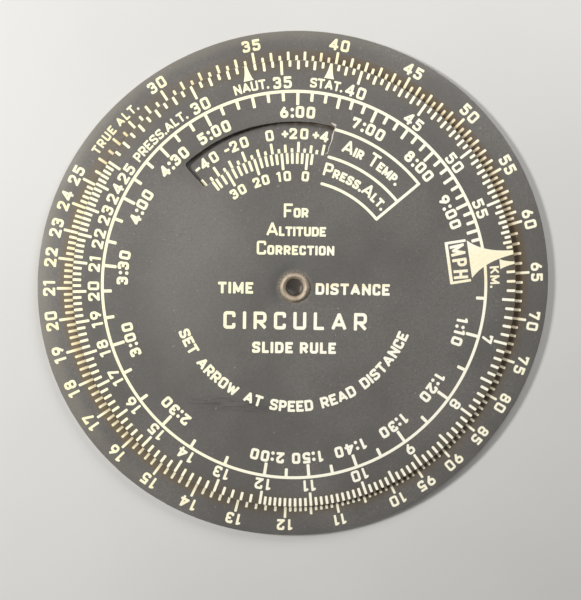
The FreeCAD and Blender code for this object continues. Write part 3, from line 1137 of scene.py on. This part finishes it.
def dial_scale():
    """Scale round the dial's edge with its numbers and the three unit arrows."""
    marks, numbers, names = Ink(), Ink(), Ink()
    tall, five, unit, half = 44.4, 44.6, 45.5, 46.05
    number_foot, name_foot = 41.65, 41.95
    pairs = [*range(10, 26), *range(30, 60, 5)]
    single = [70, 80, 90]
    arrows = (SIXTY, NAUTICAL, STATUTE, round(KILOMETRE))
    for value in graduations():
        if value in arrows:
            continue
        end = half if value % 1 and value > 25 else unit
        if value in pairs or value in single:
            end = tall
        elif value in (65, 75, 85, 95):
            end = five
        marks.add(tick(log_turn(value, DIAL_TEN), DIAL_EDGE, end, DIAL_LINE))
    style = Lettering(2.45, 0.52, 0.55)
    for value in pairs + single:
        text = str(value if value in pairs else value // 10)
        numbers.curved(text, log_turn(value, DIAL_TEN), number_foot, style)
    small = Lettering(2.0, 0.42)
    for value, text, turn, span in ((KILOMETRE, "KM.", 86.15, 6.1), (NAUTICAL, "NAUT.", 346.75, 9.9),
                                    (STATUTE, "STAT.", 8.05, 9.3)):
        names.add(pointer(log_turn(value, DIAL_TEN), 44.2, DIAL_EDGE, 1.07, 2.2))
        names.curved(text, turn, name_foot, small, span=span)
    names.curved("PRESS.ALT.", 317.35, name_foot, small, span=19.1)
    print_ink("dial", cream_ink, dial_scale_marks=marks, dial_scale_numbers=numbers,
              unit_arrows_and_names=names)


MINUTES_AT_POINTER = 600


def time_turn(minutes):
    return log_turn(SIXTY, DIAL_TEN) + 360 * math.log10(minutes / MINUTES_AT_POINTER)


def time_scale():
    """Hours and minutes inside their ring, which the big pointer crosses."""
    numbers, lines = Ink(), Ink()
    ring, ring_width, foot = 41.0, 0.62, 35.55
    shapes = arc_band(ring - ring_width / 2, ring + ring_width / 2, 0, 360, 0.75)
    labelled = [*range(70, 120, 10), *range(120, 300, 30), *range(300, 541, 60)]
    halves = range(330, 571, 60)
    for minutes in [*range(65, 120, 5), *range(120, 585, 10)]:
        end = 38.15 if minutes in labelled else 38.45 if minutes in halves else 39.0
        shapes.append(tick(time_turn(minutes), ring, end, TIME_LINE))
    shapes.append(pointer(time_turn(MINUTES_AT_POINTER) + 0.15, 37.85, DIAL_EDGE, 4.03, 4.2))
    lines.add(*shapes)
    style = Lettering(2.42, 0.58, 0.5)
    for minutes in labelled:
        numbers.curved("%d:%02d" % divmod(minutes, 60), time_turn(minutes), foot, style)
    print_ink("dial", cream_ink, time_ring_and_pointer=lines, time_numbers=numbers)


def speed_box():
    """Frame under the big pointer, open on the pointer's side."""
    box = Ink()
    turn = time_turn(MINUTES_AT_POINTER) + 0.4
    ray, side = polar(turn, 1), polar(turn + 90, 1)
    half_width, line = 4.25, 0.55
    bottom, foot, top = 33.4, 34.15, 37.6
    corner = side * (half_width + line / 2)
    shapes = [bar(ray * bottom - corner, ray * bottom + corner, 0.65)]
    for sign in (-1, 1):
        wall = side * half_width * sign
        shapes.append(bar(ray * (bottom - 0.3) + wall, ray * top + wall, line))
    box.add(*shapes)
    box.curved("MPH", turn, foot, Lettering(3.1, 0.6, narrow=0.80), span=11.7)
    print_ink("dial", cream_ink, speed_box=box)


ISA_KELVIN, ISA_LAPSE = 288.16, 1.9812  # standard air at sea level; kelvins lost per 1000 ft
TROPOPAUSE = 35.332  # thousands of feet


def pressure_altitude_scale():
    """Thousands of feet along the window's lower edge, on the dial."""
    scale = Ink()
    style = Lettering(2.1, 0.5, 0.45)
    for thousands in [*range(-2, 36, 2), TROPOPAUSE]:
        turn = SEA_LEVEL_TURN + 360 * math.log10((ISA_KELVIN - ISA_LAPSE * thousands) / ISA_KELVIN)
        end = 24.8 if thousands in (0, 10, 20, 30) else 26.0
        scale.add(tick(turn, WINDOW_INNER - EDGE_ROUND, end, DIAL_LINE))
        if thousands in (0, 10, 20, 30):
            scale.curved(str(thousands), turn, 22.45, style)
    print_ink("dial", cream_ink, pressure_altitude_scale=scale)


def scale_frame():
    """Two-row frame beside the window that names the scales above and below its edge."""
    frame_ink = Ink()
    first, last, line = WINDOW_RIGHT + 0.95, 49.45, 0.6
    shapes = [bar(polar(last, 22.35), polar(last, 34.5), line)]
    for radius in (34.2, 28.35, 22.6):
        shapes += arc_band(radius - line / 2, radius + line / 2, first, last)
        shapes.append(disc(polar(first, radius), line / 2))
    frame_ink.add(*shapes)
    frame_ink.curved("AIR TEMP.", 31.0, 30.15, Lettering(2.9, 0.52, space=1.35, small=2.0), span=25.4)
    frame_ink.curved("PRESS.ALT.", 30.35, 24.4, Lettering(2.75, 0.5, small=1.95), span=34.5)
    print_ink("dial", cream_ink, scale_frame=frame_ink)


def centre_block():
    """Headings round the eyelet, the generic title and the line of instructions."""
    heads, title, advice = Ink(), Ink(), Ink()
    small_caps = Lettering(2.92, 0.5, small=2.02)
    for text, foot, left, right in (("FOR", 14.78, -2.56, 2.7), ("ALTITUDE", 10.85, -6.2, 6.5),
                                    ("CORRECTION", 6.88, -8.2, 8.35)):
        heads.straight(text, left, foot, small_caps, right)
    plain = Lettering(2.45, 0.58)
    heads.straight("TIME", -16.35, -1.44, plain, -8.84)
    heads.straight("DISTANCE", 4.52, -1.44, plain, 20.4)
    title.straight("CIRCULAR", -15.12, -8.97, Lettering(3.75, 0.7), 15.65)
    title.straight("SLIDE RULE", -8.9, -14.05, Lettering(2.42, 0.6, space=1.5), 9.0)
    advice.curved("SET ARROW AT SPEED READ DISTANCE", 180, 26.65, Lettering(2.4, 0.55, space=1.7),
                  inward=True, span=134)
    print_ink("dial", cream_ink, scale_headings=heads, title=title, instructions=advice)


# ---- stage ----


def add_light(name, place, size, power, colour):
    """Round soft lamp that shines at the pivot."""
    data = bpy.data.lights.new(name, "AREA")
    data.shape = "DISK"
    data.size = size
    data.energy = power
    data.color = colour
    light = put_in_scene(name, data)
    light.location = place
    light.rotation_euler = (-Vector(place)).to_track_quat("-Z", "Y").to_euler()


def build_stage(lowest):
    reach = 1.5
    corners = [(x * reach, y * reach, lowest) for x, y in ((-1, -1), (1, -1), (1, 1), (-1, 1))]
    mesh = bpy.data.meshes.new("floor")
    mesh.from_pydata(corners, [], [(0, 1, 2, 3)])
    mesh.materials.append(floor_material())
    put_in_scene("floor", mesh)

    add_light("key", (-0.290, 0.070, 0.260), 0.08, 1.50, (1.0, 0.985, 0.96))
    add_light("fill", (0.105, 0.182, 0.152), 0.16, 0.36, (1.0, 0.99, 0.97))
    add_light("under", (-0.25, -0.22, -0.30), 0.3, 2.6, (1.0, 0.98, 0.95))
    world = bpy.data.worlds.new("studio")
    world.use_nodes = True
    background = world.node_tree.nodes["Background"]
    background.inputs["Color"].default_value = (1.0, 0.99, 0.97, 1.0)
    background.inputs["Strength"].default_value = 0.21
    bpy.context.scene.world = world
    bpy.context.scene.view_settings.view_transform = "Standard"


def build_camera():
    """Close, almost straight above, with a slight tilt and roll."""
    data = bpy.data.cameras.new("camera")
    data.sensor_width = 36.0
    data.lens = 48.0
    data.clip_start = 0.01
    camera = put_in_scene("camera", data)
    camera.location = Vector((-2.9, 8.45, 172.0)) * MM
    camera.rotation_euler = [math.radians(a) for a in (-3.75, -0.64, 0.93)]
    bpy.context.scene.camera = camera


base_plastic = plastic_material("base_plastic", base_marks)
dial_plastic = plastic_material("dial_plastic", dial_marks)
burr_plastic = burr_material("burr_plastic")
aged_ink = ink_material("aged_ink", (0.99, 0.96, 0.77), (0.97, 0.925, 0.71), stained_and_shaded=True)
cream_ink = ink_material("cream_ink", (0.99, 0.975, 0.85), (0.97, 0.95, 0.80), handled_at=83)
eyelet_metal = metal_material("eyelet_metal", (0.52, 0.44, 0.34), (0.35, 0.285, 0.215), EYELET_BORE + 0.45)
washer_metal = metal_material("washer_metal", (0.40, 0.33, 0.22), (0.28, 0.22, 0.14))
fibre = fibre_material("fibre")

build_sheets()
build_burr()
build_eyelet()
build_washers()
base_scale()
temperature_scale()
dial_scale()
time_scale()
speed_box()
pressure_altitude_scale()
scale_frame()
centre_block()
build_stage(cad_low.z)
build_camera()
